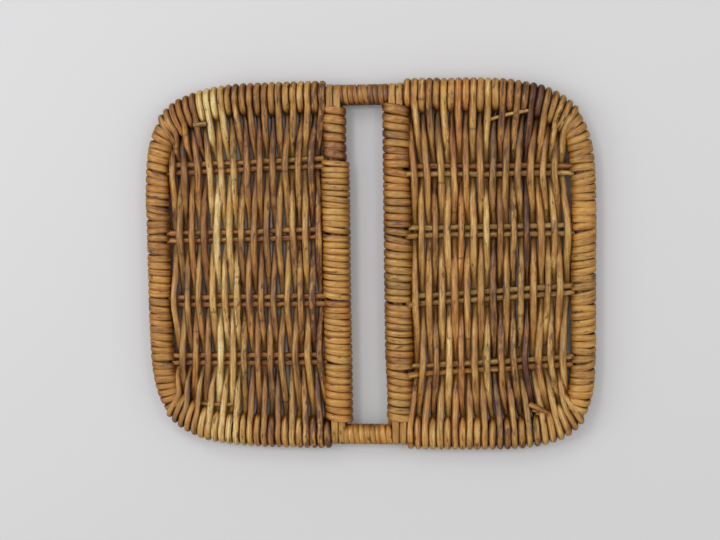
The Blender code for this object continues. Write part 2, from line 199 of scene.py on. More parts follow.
def make_willow(name, olive_stops, red_stops, roughness, fleck_share, ring_share, coat):
    """A rod's material. The stops are colours from the darkest bark to the palest wood."""
    material = bpy.data.materials.new(name)
    material.use_nodes = True
    tree = material.node_tree
    shader = tree.nodes["Principled BSDF"]
    along, across, tone, hue, bark = (
        add(tree, "ShaderNodeAttribute", {"attribute_name": field})
        for field in ("along", "across", "tone", "hue", "bark")
    )
    lengthwise = add(tree, "ShaderNodeCombineXYZ", z=along.outputs["Fac"])
    place = add(tree, "ShaderNodeVectorMath", "ADD", n0=across.outputs["Vector"], n1=lengthwise)
    pattern = {}
    for kind, (width, length) in PATTERN_MM.items():
        stretch = (1 / (width * MM), 1 / (width * MM), 1 / (length * MM))
        stretched = add(tree, "ShaderNodeVectorMath", "MULTIPLY", n0=place, n1=stretch)
        noise = add(tree, "ShaderNodeTexNoise", vector=stretched, scale=1.0, detail=3, roughness=0.6)
        pattern[kind] = noise.outputs["Fac"]

    # The tone moves up and down with the patches and the grain, and the hue with the warmth.
    def swing(value, kind):
        centred = add(tree, "ShaderNodeMath", "SUBTRACT", n0=pattern[kind], n1=0.5)
        return add(tree, "ShaderNodeMath", "MULTIPLY_ADD", n0=centred, n1=SWINGS[kind], n2=value)

    # Painted shade: the flanks between the rods, where shade falls, are painted darker, and the faces are
    # painted a little paler.
    # A point counts as a face, and as exposed, where it faces up or down, or out of the lid near its edge.
    spot = add(tree, "ShaderNodeTexCoord")
    reach = add(
        tree, "ShaderNodeVectorMath", "MULTIPLY", n0=spot.outputs["Object"],
        n1=(1 / HALF_LENGTH, 1 / HALF_DEPTH, 0),
    )
    powers = {1: reach}
    for low, high in ((1, 1), (2, 2), (4, 1)):
        powers[low + high] = add(tree, "ShaderNodeVectorMath", "MULTIPLY", n0=powers[low], n1=powers[high])
    outwards = add(tree, "ShaderNodeVectorMath", "DOT_PRODUCT", n0=powers[5], n1=spot.outputs["Normal"])
    parts = add(tree, "ShaderNodeSeparateXYZ", vector=spot.outputs["Normal"])
    flatwards = add(tree, "ShaderNodeMath", "ABSOLUTE", n0=parts.outputs[2])
    exposed = add(tree, "ShaderNodeMath", "MAXIMUM", n0=outwards.outputs["Value"], n1=flatwards)
    painted_facing_shade = add(
        tree, "ShaderNodeMapRange", SMOOTH_STEP, value=exposed, from_min=FACING_EDGE[0],
        from_max=FACING_EDGE[1], to_min=-FLANK_PAINTED_SHADE, to_max=FACE_PAINTED_LIGHT,
    )
    start = add(tree, "ShaderNodeMath", "ADD", n0=tone.outputs["Fac"], n1=painted_facing_shade)
    level = swing(swing(start, "patches"), "grain")
    warmth = swing(hue.outputs["Fac"], "warmth")
    ramps = []
    for stops in (olive_stops, red_stops):
        ramp = add(tree, "ShaderNodeValToRGB", fac=level)
        points = ramp.color_ramp.elements
        while len(points) < len(stops):
            points.new(0.5)
        for i, colour in enumerate(stops):
            points[i].position = i / (len(stops) - 1)
            points[i].color = linear(colour)
        ramps.append(ramp.outputs["Color"])
    wood = add(tree, "ShaderNodeMix", COLOURS, n0=warmth, n6=ramps[0], n7=ramps[1])

    # Flecks, blotches of bark where the rod has kept it, and the rings at the buds.
    kept, spotted = bark.outputs["Fac"], pattern["blotches"]
    barky = add(tree, "ShaderNodeMath", "MULTIPLY_ADD", n0=kept, n1=BARK_WEIGHT, n2=spotted)
    kinds = ((pattern["flecks"], FLECK_EDGE, fleck_share), (barky, BLOTCH_EDGE, BLOTCH_COVER))
    marks = [
        add(tree, "ShaderNodeMapRange", SMOOTH_STEP, value=value, from_min=low, from_max=high, to_max=cover)
        for value, (low, high), cover in kinds
    ]
    turns = add(tree, "ShaderNodeMath", "MULTIPLY", n0=along.outputs["Fac"], n1=1 / (RING_SPACING_MM * MM))
    phase = add(tree, "ShaderNodeMath", "PINGPONG", n0=turns, n1=0.5)
    ring_width = RING_HALF_WIDTH_MM / RING_SPACING_MM
    rings = add(
        tree, "ShaderNodeMapRange", SMOOTH_STEP, value=phase, from_min=RING_CORE_SHARE * ring_width,
        from_max=ring_width, to_min=ring_share, to_max=0,
    )
    spots = add(tree, "ShaderNodeMath", "MAXIMUM", n0=marks[0], n1=marks[1])
    dark = add(tree, "ShaderNodeMath", "MAXIMUM", n0=spots, n1=rings)
    colour = add(tree, "ShaderNodeMix", COLOURS, n0=dark, n6=wood.outputs[2], n7=linear(BARK_COLOUR))
    tree.links.new(colour.outputs[2], shader.inputs["Base Color"])

    gloss = add(
        tree, "ShaderNodeMapRange", value=pattern["grain"], from_min=NOISE_REACH[0],
        from_max=NOISE_REACH[1], to_min=roughness + ROUGHNESS_SWING[0],
        to_max=roughness + ROUGHNESS_SWING[1],
    )
    tree.links.new(gloss.outputs[0], shader.inputs["Roughness"])
    relief = add(tree, "ShaderNodeMath", "ADD", n0=pattern["grain"], n1=pattern["blotches"])
    bump = add(
        tree, "ShaderNodeBump", strength=RELIEF_STRENGTH, distance=RELIEF_DEPTH_MM * MM, height=relief
    )
    tree.links.new(bump.outputs[0], shader.inputs["Normal"])
    shader.inputs["IOR"].default_value = WOOD_IOR
    shader.inputs["Coat Weight"].default_value = coat
    shader.inputs["Coat Roughness"].default_value = WAX_ROUGHNESS
    return material


OLIVE_STOPS = ("#22150a", "#4f3517", "#7f5b28", "#a87f3c", "#cba861", "#e9d499")
RED_STOPS = ("#29130a", "#5c2f14", "#915522", "#b87b34", "#d39f53", "#e8c686")
CANE_OLIVE_STOPS = ("#38240f", "#65431b", "#8d652a", "#ab8038", "#c59a4d", "#dcb974")
CANE_RED_STOPS = ("#47240b", "#7b4714", "#a56a20", "#c08632", "#d49e49", "#e2b768")

# After its colours, a finish has its roughness, its flecks' and rings' strength, and its coat of wax.
WILLOW = (OLIVE_STOPS, RED_STOPS)
CANE = (CANE_OLIVE_STOPS, CANE_RED_STOPS)
willow_woven = make_willow("willow_rod_boiled_and_woven", *WILLOW, 0.42, 0.5, 0.6, 0.2)
willow_stake = make_willow("willow_stake_boiled", *WILLOW, 0.45, 0.5, 0.3, 0.15)
willow_bent = make_willow("willow_frame_rod_steam_bent", *WILLOW, 0.5, 0.6, 0.3, 0.1)
cane_wound = make_willow("round_cane_peeled_and_wound", *CANE, 0.36, 0.15, 0, 0.5)
cane_split = make_willow("flat_cane_split_and_wound", *CANE, 0.44, 0.18, 0, 0.35)
print("Made", len(bpy.data.materials), "materials")

# %% [markdown]
# One Geometry Nodes tree lays every rod. It takes a path as a mesh of edges whose points carry "thickness",
# which is the rod's radius there, "tone", "hue" and "bark", and "outward", the way that a flat strip's face
# looks. It turns the path to a smooth curve, lets it wander by a few tenths of a millimetre as a grown rod
# does, and sweeps a section along it. A sweep could be written by hand, but the tree keeps its sizes as
# named inputs, and the same tree serves a 5 mm weaver, a flat strip of cane and a 13 mm frame rod.
#
# The section starts as a circle. "Flatness" squeezes it, and "Squareness" turns it to a superellipse: 2
# leaves an ellipse, and about 3 gives the flattened top and rounded edges of split cane.

# %% The path tree
WANDER_NOISE = {"scale": 28, "detail": 1}
WANDER_GAIN = 4.0
SWELL_NOISE = {"scale": 65, "detail": 2}
SWELL = (0.93, 1.05)
SEED_SHIFT = 5.317


def make_path_tree():
    tree = bpy.data.node_groups.new("rod_along_a_path", "GeometryNodeTree")
    for way in ("OUTPUT", "INPUT"):
        tree.interface.new_socket("Geometry", in_out=way, socket_type="NodeSocketGeometry")
    for name, kind in {
        "Ring spacing": "NodeSocketFloat",
        "Facets": "NodeSocketInt",
        "Flatness": "NodeSocketFloat",
        "Squareness": "NodeSocketFloat",
        "Flat strip": "NodeSocketBool",
        "Wander": "NodeSocketFloat",
        "Seed": "NodeSocketFloat",
        "Finish": "NodeSocketMaterial",
    }.items():
        tree.interface.new_socket(name, in_out="INPUT", socket_type=kind)
    given = add(tree, "NodeGroupInput").outputs
    kinds = {"thickness": "FLOAT", "outward": "FLOAT_VECTOR", "section_place": "FLOAT_VECTOR"}
    stored = {}
    for name, kind in kinds.items():
        attribute = add(tree, "GeometryNodeInputNamedAttribute", {"data_type": kind}, name=name)
        stored[name] = attribute.outputs["Attribute"]

    # The path becomes an even, smooth curve.
    path = add(tree, "GeometryNodeMeshToCurve", mesh=given["Geometry"])
    smooth = add(tree, "GeometryNodeCurveSplineType", {"spline_type": "CATMULL_ROM"}, curve=path)
    even = add(
        tree, "GeometryNodeResampleCurve", {"mode": "LENGTH"}, curve=smooth, length=given["Ring spacing"]
    )

    # A noise's scale counts its waves a metre. The rod wanders over about 35 mm and swells over about 15.
    place = add(tree, "GeometryNodeInputPosition")
    seeded = {"vector": place, "w": given["Seed"]}
    wave = add(tree, "ShaderNodeTexNoise", FOUR_DIMENSIONS, **seeded, **WANDER_NOISE)
    centred = add(tree, "ShaderNodeVectorMath", "SUBTRACT", n0=wave.outputs["Color"], n1=(0.5, 0.5, 0.5))
    reach = add(tree, "ShaderNodeMath", "MULTIPLY", n0=given["Wander"], n1=WANDER_GAIN)
    offset = add(tree, "ShaderNodeVectorMath", "SCALE", vector=centred, scale=reach)
    moved = add(tree, "GeometryNodeSetPosition", geometry=even, offset=offset)
    swell = add(tree, "ShaderNodeTexNoise", FOUR_DIMENSIONS, **seeded, **SWELL_NOISE)
    factor = add(
        tree, "ShaderNodeMapRange", value=swell.outputs["Fac"], from_min=NOISE_REACH[0],
        from_max=NOISE_REACH[1], to_min=SWELL[0], to_max=SWELL[1],
    )
    radius = add(tree, "ShaderNodeMath", "MULTIPLY", n0=stored["thickness"], n1=factor)

    # No two pieces start at the same place of the pattern, so the seed shifts the length.
    length = add(tree, "GeometryNodeSplineParameter")
    shifted = add(
        tree, "ShaderNodeMath", "MULTIPLY_ADD", n0=given["Seed"], n1=SEED_SHIFT, n2=length.outputs["Length"]
    )
    measured = add(
        tree, "GeometryNodeStoreNamedAttribute", {"data_type": "FLOAT", "domain": "POINT"}, geometry=moved,
        name="along", value=shifted,
    )
    facing = add(
        tree, "GeometryNodeSetCurveNormal", {"mode": "FREE"}, curve=measured, selection=given["Flat strip"],
        normal=stored["outward"],
    )

    # The section: |x|^n + |y|^n = 1, squeezed.
    ring = add(
        tree, "GeometryNodeCurvePrimitiveCircle", {"mode": "RADIUS"}, resolution=given["Facets"], radius=1.0
    )
    parts = add(tree, "ShaderNodeSeparateXYZ", vector=place)
    powers = []
    for axis in (0, 1):
        size = add(tree, "ShaderNodeMath", "ABSOLUTE", n0=parts.outputs[axis])
        powers.append(add(tree, "ShaderNodeMath", "POWER", n0=size, n1=given["Squareness"]))
    total = add(tree, "ShaderNodeMath", "ADD", n0=powers[0], n1=powers[1])
    root = add(tree, "ShaderNodeMath", "DIVIDE", n0=-1.0, n1=given["Squareness"])
    grown = add(tree, "ShaderNodeMath", "POWER", n0=total, n1=root)
    squeeze = add(tree, "ShaderNodeCombineXYZ", x=given["Flatness"], y=1.0, z=1.0)
    squeezed = add(tree, "ShaderNodeVectorMath", "MULTIPLY", n0=place, n1=squeeze)
    shaped = add(tree, "ShaderNodeVectorMath", "SCALE", vector=squeezed, scale=grown)
    section = add(tree, "GeometryNodeSetPosition", geometry=ring, position=shaped)
    marked = add(
        tree, "GeometryNodeStoreNamedAttribute", VECTORS, geometry=section, name="section_place", value=place
    )

    # The sweep, and the place in the section in metres.
    rod = add(
        tree, "GeometryNodeCurveToMesh", curve=facing, profile_curve=marked, scale=radius, fill_caps=True
    )
    across = add(
        tree, "ShaderNodeVectorMath", "SCALE", vector=stored["section_place"], scale=stored["thickness"]
    )
    placed = add(
        tree, "GeometryNodeStoreNamedAttribute", VECTORS, geometry=rod, name="across", value=across
    )
    shaded = add(tree, "GeometryNodeSetShadeSmooth", geometry=placed, shade_smooth=True)
    real = add(tree, "GeometryNodeRealizeInstances", geometry=shaded)
    finished = add(tree, "GeometryNodeSetMaterial", geometry=real, material=given["Finish"])
    add(tree, "NodeGroupOutput", geometry=finished)
    return tree


path_tree = make_path_tree()
sockets = path_tree.interface.items_tree
INPUTS = {socket.name: socket.identifier for socket in sockets if socket.in_out == "INPUT"}
print("The path tree has", len(path_tree.nodes), "nodes")

# %% [markdown]
# A path is kept as a list of steps. Each step has its point, the rod's radius, its tone, hue and bark, and
# the way its section faces. The next cell turns such lists to an edge mesh with those attributes, runs the
# tree over it, keeps the result as a plain mesh, and hides the nodes of the frame that it stands for.

# %% From a path to a finished piece
FIELDS = ("thickness", "tone", "hue", "bark", "outward")
THIN_ROD = {"Facets": 12, "Flatness": 1.0, "Squareness": 2.0, "Flat strip": False}
pieces_made = []


def new_object(name, data):
    made = bpy.data.objects.new(name, data)
    bpy.context.scene.collection.objects.link(made)
    return made


def make_piece(name, paths, finish, stands_for, shape=THIN_ROD, wander_mm=0.3, ring_mm=1.2):
    """Lay one rod along each path."""
    steps = [step for path in paths for step in path]
    edges = []
    start = 0
    for path in paths:
        edges += [(start + i, start + i + 1) for i in range(len(path) - 1)]
        start += len(path)
    mesh = bpy.data.meshes.new(name)
    mesh.from_pydata([step[0] for step in steps], edges, [])
    for part, field in enumerate(FIELDS, 1):
        kind, value = ("FLOAT_VECTOR", "vector") if field == "outward" else ("FLOAT", "value")
        values = np.array([step[part] for step in steps], dtype=np.float32).ravel()
        mesh.attributes.new(field, kind, "POINT").data.foreach_set(value, values)
    piece = new_object(name, mesh)
    modifier = piece.modifiers.new("Rod", "NODES")
    modifier.node_group = path_tree
    pieces_made.append(name)
    given = {
        **shape,
        "Ring spacing": ring_mm * MM,
        "Wander": wander_mm * MM,
        "Seed": float(len(pieces_made)),
        "Finish": finish,
    }
    for field, value in given.items():
        modifier[INPUTS[field]] = value
    evaluated = piece.evaluated_get(bpy.context.evaluated_depsgraph_get())
    solid = bpy.data.meshes.new_from_object(evaluated)
    piece.modifiers.remove(modifier)
    piece.data = solid
    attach(piece, "root")
    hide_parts(*stands_for)
    print(f"{name}: {len(solid.polygons)} faces")


# %% [markdown]
# The frame rod is one willow rod, steamed and bent all the way round, with its two ends meeting under the
# wrapping of the left side. Its bark is greenish brown, and shows only where no strip or weaver covers it.

# %% The frame rod
UP = (0, 0, 1)
FRAME_POINTS = 120
END_SHARE = 0.02
BARE_ROD = (0.3, 0.25, 0.3)


def frame_rod_path():
    path = []
    for i in range(FRAME_POINTS + 1):
        share = min(max(i, END_SHARE), FRAME_POINTS - END_SHARE) / FRAME_POINTS
        angle = math.pi - 2 * math.pi * share
        squareness = corner_squareness(math.cos(angle), math.sin(angle))
        path.append((frame_point(angle, squareness), ROD_RADIUS, *BARE_ROD, UP))
    return path


THICK_ROD = {**THIN_ROD, "Facets": 24}
make_piece(
    "bent_frame_rod", [frame_rod_path()], willow_bent, ["frame_rod"], THICK_ROD, wander_mm=0.1,
    ring_mm=3,
)

# %% [markdown]
# Each inner stile is a straight rod that ends against the frame rod. Almost all of it is wrapped.

# %% The stile rods
STILE_RADIUS = ROD_RADIUS - 0.2 * MM
STILE_POINTS = 12

for side, sign in SIDES.items():
    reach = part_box(f"{side}_stile")[1][1]
    places = [(sign * STILE_OFFSET, y, MID_HEIGHT) for y in np.linspace(-reach, reach, STILE_POINTS)]
    make_piece(
        f"{side}_stile_rod", [[(place, STILE_RADIUS, *BARE_ROD, UP) for place in places]], willow_bent,
        [f"{side}_stile"], THICK_ROD, wander_mm=0.05, ring_mm=4,
    )

# %% [markdown]
# The stakes are thin rods that lie in pairs across each panel. A pair isn't quite level: it rises or falls
# a little towards the side. Its two rods seldom match, so one may be reddish brown and the other tan or
# olive. Their inner ends tuck in between the turns of the stile's wrapping, and on the right the nearer rod
# of each pair lies on it.

# %% The stakes
STAKE_RISE_SHARES = {"left": (-0.03, -0.02, -0.005, -0.005), "right": (-0.008, 0.005, 0.065, 0.065)}
PANEL_MIDDLE = (STILE_OFFSET + HALF_LENGTH) / 2
STAKE_LOOKS = {
    "left": (
        ((0.56, 0.5), (0.44, 1.0)), ((0.54, 0.8), (0.5, 1.0)),
        ((0.52, 0.8), (0.5, 1.0)), ((0.52, 0.9), (0.46, 1.0)),
    ),
    "right": (
        ((0.4, 1.0), (0.62, 0.1)), ((0.64, 0.1), (0.6, 0.15)),
        ((0.64, 0.1), (0.58, 0.15)), ((0.6, 0.2), (0.56, 0.95)),
    ),
}
STAKE_BARK = 0.1
STAKE_POINTS = 40
STAKE_SWELL = 1.14
STAKE_TUCK = 4 * MM
EXPOSED_TUCK = 5.5 * MM
STAKE_END_RISE = 7.5 * MM
STAKE_END_LENGTH = 10 * MM
# Three standard deviations are 0.35 mm, which a stake's waver seldom passes.
STAKE_WAVER = 0.35 / 3 * MM
rng = np.random.default_rng(7)


def pair_y(side, number, x):
    """The middle of a pair of stakes at a distance from the lid's middle."""
    level = (stake_y(side, number, "back") + stake_y(side, number, "front")) / 2
    return level + STAKE_RISE_SHARES[side][number - 1] * (x - PANEL_MIDDLE)


for side, sign in SIDES.items():
    for number, looks in enumerate(STAKE_LOOKS[side], 1):
        for place, look in zip(("back", "front"), looks):
            name = f"{side}_stake_{number}_{place}"
            low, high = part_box(name)
            inner, outer = sorted((abs(low[0]), abs(high[0])))
            exposed = side == "right" and place == "front"
            tuck = EXPOSED_TUCK if exposed else STAKE_TUCK
            offset = stake_y(side, number, place) - pair_y(side, number, PANEL_MIDDLE)
            path = []
            for x in np.linspace(inner - tuck, outer + STAKE_TUCK, STAKE_POINTS):
                y = pair_y(side, number, x) + offset + STAKE_WAVER * rng.standard_normal()
                raised = max(0, 1 - (x - inner + tuck) / STAKE_END_LENGTH) if exposed else 0
                point = (sign * x, y, MID_HEIGHT + STAKE_END_RISE * raised)
                path.append((point, STAKE_SWELL * STAKE_RADIUS, *look, STAKE_BARK, UP))
            make_piece(f"{name}_rod", [path], willow_stake, [name], wander_mm=0.4)

# %% [markdown]
# The weavers are the main thing to see. A weaver runs up the panel, in front of one pair of stakes and
# behind the next, turns one and a half times round the frame rod, and runs back one place further along.
# From the front each turn shows twice: once as a long strand that goes on down the panel, and once as a
# short loop that hangs between the long ones. Because neighbouring passes take the stakes in turn, the
# strands cross in long narrow lenses.
#
# The path is worked out pass by pass. The places on the rim are a little wider apart than the passes in the
# panel, which is why the strands fan out towards the corners. At a corner a turn doesn't lie square to the
# rod: it leans towards the way that its strand runs.

# %% The places on the rim
WEAVER_RADIUS = 2.7 * MM
RIM_STRAND_RADIUS = 2.75 * MM
PASSES = 24
# The last turn ends behind the rod, so the stretch of rim is a little shorter than its places.
PLACES_ON_RIM = PASSES - 0.4
RIM_SAMPLES = 1500
TURN_STEP = math.radians(45)
RIM_FIRST_X = STRAP_OUTER_EDGE + 3.2 * MM
CORNER_Y_SHARES = {("left", 1): 0.8, ("left", -1): 0.8, ("right", 1): 0.81, ("right", -1): 0.82}
LOOP_SLACK = 2.6 * MM
CORNER_LEAN_SHARE = 0.5
CORNER_BULGES = {"left": 2 * MM, "right": 0}
CORNER_DRAW_IN = {("right", 1): 4 * MM, ("right", 4): 3 * MM}
CORNER_POWER = 4
CORNER_THINNING = 0.1
TURN_REACH = ROD_RADIUS + RIM_STRAND_RADIUS - 0.4 * MM
TURN_HEIGHT = MID_HEIGHT - RIM_STRAND_RADIUS - 0.75 * MM
PANEL_INNER = STILE_OFFSET + STILE_WRAP_RADIUS + 0.9 * WEAVER_RADIUS


class Rim:
    """The places where the weavers turn round the frame rod, from the strap round one corner to the side."""

    def __init__(self, side, end):
        angles = np.linspace(QUARTER_TURN, 0, RIM_SAMPLES)
        self.squareness = corner_squareness(SIDES[side], end)
        self.points = np.array([frame_point(angle, self.squareness) for angle in angles])
        steps = np.linalg.norm(np.diff(self.points, axis=0), axis=1)
        self.lengths = np.concatenate([[0], np.cumsum(steps)])
        self.first = np.interp(RIM_FIRST_X, self.points[:, 0], self.lengths)
        last_y = CORNER_Y_SHARES[side, end] * HALF_DEPTH
        last = np.interp(-last_y, -self.points[:, 1], self.lengths)
        self.pitch = (last - self.first) / PLACES_ON_RIM
        print(f"{side}, end {end}: places on the rim {self.pitch / MM:.2f} mm apart")

    def station(self, place):
        """A place's point, and the direction in which a turn lies across the rod there."""
        length = self.first + place * self.pitch
        point = np.array([np.interp(length, self.lengths, self.points[:, axis]) for axis in range(3)])
        normal = frame_normal(point, self.squareness)
        lean = CORNER_LEAN_SHARE * math.atan2(normal[0], normal[1])
        across = np.array([math.sin(lean), math.cos(lean), 0])
        return point, across / (across @ normal)


# %% [markdown]
# A turn round the rim hugs the rod and hangs a little slack on its inner side. It lies straight across the
# rod's face and moves one place along behind it. The strand that leaves behind the rod runs in the gap
# between two long strands, and moves over under a loop, where it can't be seen. Angle 0 points out of the
# lid and a quarter turn is the rod's top.

# %% The turns and the passes
def turn_point(rims, place, angle, sign, end, slack):
    """A point of a turn, which moves one place along the rim while it is behind the rod."""
    whole, share = divmod(-angle / (2 * math.pi), 1)
    centre, across = rims[end].station(place + whole + min(2 * share, 1))
    offset = TURN_REACH * math.cos(angle)
    if offset < 0:
        offset *= 1 + slack / TURN_REACH
    point = centre + offset * across
    point[2] += TURN_HEIGHT * math.sin(angle)
    return np.array([sign * point[0], end * point[1], point[2]])


def turn_points(rims, place, start, stop, sign, end, slack):
    angles = [start - i * TURN_STEP for i in range(round((start - stop) / TURN_STEP) + 1)]
    return [turn_point(rims, place, angle, sign, end, slack) for angle in angles]


CROSSING = STAKE_SWELL * STAKE_RADIUS + WEAVER_RADIUS
START_ANGLE = QUARTER_TURN + TURN_STEP
PLACES_MOVED_BEHIND = 0.75
MOVE_OVER_SHARE = 0.8
PAIRS_FROM_BACK = (1, 2, 3, 4)
WEAVING_STARTS = {"left": -1, "right": 1}


def pass_points(number, side, end, jitter):
    """Where a pass crosses the stakes, in the order in which the weaver meets them."""
    pairs = reversed(PAIRS_FROM_BACK) if end > 0 else PAIRS_FROM_BACK
    share = number / (PASSES - 1)
    points = []
    for i, pair in enumerate(pairs):
        outermost = frame_x(pair_y(side, pair, HALF_LENGTH)) - SIDE_WRAP_RADIUS - WEAVER_RADIUS
        x = PANEL_INNER + share * (outermost - PANEL_INNER) + jitter[i] * MM
        x -= CORNER_DRAW_IN.get((side, pair), 0) * share**CORNER_POWER
        height = CROSSING if i % 2 == 0 else -CROSSING
        points.append(np.array([SIDES[side] * x, pair_y(side, pair, x), MID_HEIGHT + height]))
    return points


def between(before, after, share, sideways):
    """A point on the way between two others, moved sideways."""
    return before + share * (after - before) + np.array([sideways, 0, 0])


# %% [markdown]
# Willow rods differ, so each pass has its own tone, hue and bark. Most are tan or honey. Some pale rods
# show on the left, and rods with dark, blotched bark on both sides. The lists run from the slot to the
# side. Where a strand runs under the rim, its tone is darkened as painted shadow, most of all under the back
# rim, where the rim's shadow falls. The turns round the rim are painted a little paler as painted light,
# most round the front rim.

# %% Looks of the passes
PASS_LOOKS = {
    "left": (
        (0.46, 0.5, 0.55), (0.5, 0.65, 0.8), (0.58, 0.5, 0.1), (0.52, 0.45, 0.4), (0.52, 0.4, 0.25),
        (0.57, 0.4, 0.1), (0.53, 0.45, 0.1), (0.45, 0.45, 0.25), (0.46, 0.4, 0.2), (0.45, 0.6, 0.2),
        (0.5, 0.6, 0.1), (0.48, 0.6, 0.1), (0.54, 0.35, 0.35), (0.7, 0.25, 0.35), (0.76, 0.25, 0.1),
        (0.7, 0.3, 0.1), (0.82, 0.05, 0), (0.62, 0.25, 0.1), (0.44, 0.6, 0.1), (0.5, 0.45, 0.1),
        (0.54, 0.75, 0.1), (0.44, 0.45, 0.1), (0.45, 0.3, 0.1), (0.53, 0.6, 0.1),
    ),
    "right": (
        (0.55, 0.8, 0.1), (0.6, 0.5, 0.1), (0.58, 0.5, 0.1), (0.5, 0.5, 0.35), (0.58, 0.4, 0.1),
        (0.65, 0.5, 0.1), (0.55, 0.8, 0.1), (0.57, 1.0, 0.1), (0.54, 0.5, 0.1), (0.6, 0.4, 0.1),
        (0.52, 0.5, 0.1), (0.64, 0.3, 0.1), (0.44, 0.3, 0.4), (0.48, 0.6, 0.25), (0.5, 0.4, 0.25),
        (0.5, 0.4, 0.5), (0.53, 0.2, 0.2), (0.2, 0.9, 0.4), (0.53, 0.5, 0.1), (0.55, 0.5, 0.1),
        (0.56, 0.3, 0.1), (0.6, 0.3, 0.35), (0.56, 0.4, 0.1), (0.58, 0.3, 0.1),
    ),
}
LOOK_SPREAD = 0.03
# Painted shadow: how much darker a strand's step under each rim is painted.
UNDER_RIM_PAINTED_SHADOW = {1: 0.26, -1: 0.06}
# Painted light: how much paler the turns round each rim are painted.
RIM_PAINTED_LIGHT = {("left", -1): 0.1, ("right", -1): 0.05, ("left", 1): 0.03, ("right", 1): 0}

# %% [markdown]
# Now the route of each weaver. Every pass is a little thicker or thinner, sways a little between the stakes
# and hangs a little more or less slack. After every fifth part of the panel the rod is used up, and a new
# one starts where the old one ends.

# %% The routes of the weavers
WEAVING_SEEDS = {"left": 11, "right": 12}
WEAVERS_IN_PANEL = 5
WEAVER_SPREAD = (0.95, 1.09)
TURN_SPREAD = (0.94, 1.04)
SLACK_SPREAD = (0.6, 1.3)
CROSSING_JITTER_MM = 0.8
SWAY_MM = 0.5
NEW_ROD_SHARE = 0.1


def weaver_paths(side):
    """The panel's weaving, as one path for each weaver."""
    rims = {end: Rim(side, end) for end in (1, -1)}
    sign = SIDES[side]
    start = WEAVING_STARTS[side]
    noise = np.random.default_rng(WEAVING_SEEDS[side])
    half_turn = -START_ANGLE
    turn_and_half = half_turn - 2 * math.pi
    cuts = {round(k * PASSES / WEAVERS_IN_PANEL) for k in range(1, WEAVERS_IN_PANEL)}
    look = PASS_LOOKS[side][0]

    # A positive painted_shading darkens the tone as painted shade, and a negative one pales it as painted
    # light.
    def steps(points, radius, painted_shading=0):
        return [(point, radius, look[0] - painted_shading, *look[1:], UP) for point in points]

    first_turn = turn_points(rims, 0, math.pi + TURN_STEP, half_turn, sign, start, 0)
    paths = [steps(first_turn, RIM_STRAND_RADIUS)]
    for number in range(PASSES):
        end = -start if number % 2 == 0 else start
        tone, hue, bark = PASS_LOOKS[side][number]
        look = (tone + LOOK_SPREAD * noise.standard_normal(), hue, bark)
        radius = WEAVER_RADIUS * noise.uniform(*WEAVER_SPREAD)
        jitter = noise.uniform(-CROSSING_JITTER_MM, CROSSING_JITTER_MM, len(PAIRS_FROM_BACK))
        crossed = pass_points(number, side, end, jitter)
        sways = noise.uniform(-SWAY_MM, SWAY_MM, len(crossed) - 1) * MM
        slack = LOOP_SLACK * noise.uniform(*SLACK_SPREAD)
        cornering = (number / (PASSES - 1)) ** CORNER_POWER
        bulge = sign * CORNER_BULGES[side] * cornering
        under_loop = turn_point(rims, number - PLACES_MOVED_BEHIND, half_turn, sign, -end, slack)
        arriving = turn_point(rims, number, START_ANGLE, sign, end, slack)
        route = [between(crossed[0], under_loop, MOVE_OVER_SHARE, bulge / 2), crossed[0]]
        for before, after, sway in zip(crossed, crossed[1:], sways):
            route += [between(before, after, 0.5, sway), after]
        route.append(between(crossed[-1], arriving, 0.5, bulge))
        # Painted shadow: the strand's first step, under the rim, is darkened.
        paths[-1] += steps(route[:1], radius, UNDER_RIM_PAINTED_SHADOW[-end])
        paths[-1] += steps(route[1:4], radius)
        if number in cuts:
            paths.append(steps([between(route[3], route[4], NEW_ROD_SHARE, 0)], radius))
        paths[-1] += steps(route[4:], radius)
        stop = half_turn if number == PASSES - 1 else turn_and_half
        turns = turn_points(rims, number, START_ANGLE, stop, sign, end, slack)
        thickness = RIM_STRAND_RADIUS * noise.uniform(*TURN_SPREAD) * (1 - CORNER_THINNING * cornering)
        # Painted light: the turns round the rim are made paler.
        paths[-1] += steps(turns, thickness, -RIM_PAINTED_LIGHT[side, end])
    return paths


# %% [markdown]
# Each weaver is one unbroken rod, between one and a half and two metres long, laid by the path tree. A few
# cut ends show: a thin tip under the back rim on the right, a square-cut butt in the left back corner, one
# along the front rim on the left and a frayed one, with two splinters, in the right front corner. Each is
# given by its points and its radius in millimetres, and its tone, hue and bark.

# %% The weavers
LOOSE_ENDS = {
    ("left", 4): [(((-134.5, 112.5, 16.5), (-124, 113, 17)), 2.4, (0.46, 0.3, 0.1))],
    ("left", 5): [(((-140, -109, 9.5), (-126, -110.5, 11.5), (-110, -110.5, 9.5)), 2.0, (0.52, 0.7, 0.1))],
    ("right", 4): [(((128, 119, 17.5), (110, 116, 15.5), (92, 111.5, 13)), 1.4, (0.64, 0.15, 0.1))],
    ("right", 5): [
        (((125, -107, 18.2), (131, -109.5, 19), (138, -114, 15)), 2.3, (0.5, 0.7, 0.1)),
        (((127, -111.5, 18.5), (138, -115, 15)), 0.9, (0.62, 0.6, 0)),
        (((130, -114, 19.5), (138, -115.5, 15)), 0.9, (0.62, 0.6, 0)),
    ],
}


def loose_end_path(points_mm, radius_mm, look):
    return [(np.array(point) * MM, radius_mm * MM, *look, UP) for point in points_mm]


for side in SIDES:
    for number, path in enumerate(weaver_paths(side), 1):
        loose_ends = [loose_end_path(*loose_end) for loose_end in LOOSE_ENDS.get((side, number), [])]
        make_piece(
            f"{side}_willow_weaver_{number}", [path, *loose_ends], willow_woven,
            [f"{side}_weaver_{number}"], wander_mm=0.35,
        )

